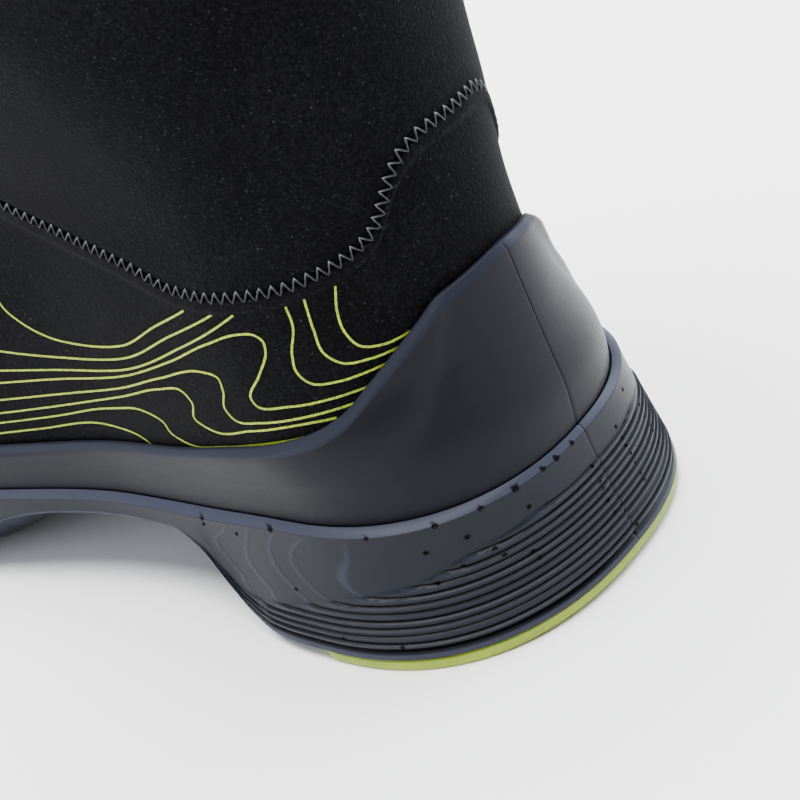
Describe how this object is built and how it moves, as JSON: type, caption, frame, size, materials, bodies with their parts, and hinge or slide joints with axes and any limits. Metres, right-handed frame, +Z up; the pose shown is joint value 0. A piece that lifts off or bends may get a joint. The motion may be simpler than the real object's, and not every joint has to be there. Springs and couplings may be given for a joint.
{
  "type": "deck_boot",
  "caption": "Mid-height neoprene sailing deck boot with a rubber heel counter, ribbed cup sole, outsole pads and pull loops, for the left foot",
  "frame": {"origin": "on the ground under the middle of the heel, on the lowest face of the heel pad", "axes": "+Z up out of the boot, toe along -Y, lateral side of the left foot along +X"},
  "size_m": [0.1084, 0.3152, 0.282],
  "materials": {
    "outsole": "lime green moulded rubber",
    "sole": "dark grey moulded rubber with ribs",
    "shell": "smooth dark grey rubber",
    "neoprene": "black nylon-faced neoprene",
    "foam": "closed-cell foam",
    "board": "pressed fibre board",
    "nylon": "stiff moulded nylon",
    "lining": "knitted lining cloth",
    "tape": "smooth stretch tape",
    "thread": "cover stitching",
    "webbing": "woven polyester webbing"
  },
  "bodies": {
    "foot": {"heel_outsole_pad": "outsole", "forefoot_outsole_pad": "outsole", "cup_sole": "sole", "heel_foam_core": "foam", "shank": "nylon", "lasting_board": "board", "footbed": "foam", "footbed_cover": "lining", "foot_sleeve": "neoprene", "ankle_panel": "neoprene", "heel_stiffener": "nylon", "toe_stiffener": "nylon", "heel_counter": "shell", "toe_cap": "shell", "ankle_seam_tape": "tape", "ankle_seam_stitching": "thread"},
    "shaft": {"shaft_sleeve": "neoprene", "shaft_seam_tape": "tape", "shaft_seam_stitching": "thread", "collar_binding": "tape", "rear_loop_patch": "webbing", "front_loop_patch": "webbing"},
    "rear_loop": {"rear_pull_loop": "webbing"},
    "front_loop": {"front_pull_loop": "webbing"}
  },
  "joints": [
    {"name": "ankle_flex", "type": "hinge", "parent": "foot", "child": "shaft", "pos_m": [0, -0.015, 0.09], "axis": [1, 0, 0], "range_deg": [-10, 20], "stiffness_Nm_per_rad": 6, "deforming": ["ankle_panel"]},
    {"name": "rear_loop_fold", "type": "hinge", "parent": "shaft", "child": "rear_loop", "pos_m": [0, 0.0448, 0.2485], "axis": [1, 0, 0], "range_deg": [-90, 0], "stiffness_Nm_per_rad": 0.05},
    {"name": "front_loop_fold", "type": "hinge", "parent": "shaft", "child": "front_loop", "pos_m": [0, -0.0714, 0.2485], "axis": [1, 0, 0], "range_deg": [0, 90], "stiffness_Nm_per_rad": 0.05}
  ]
}
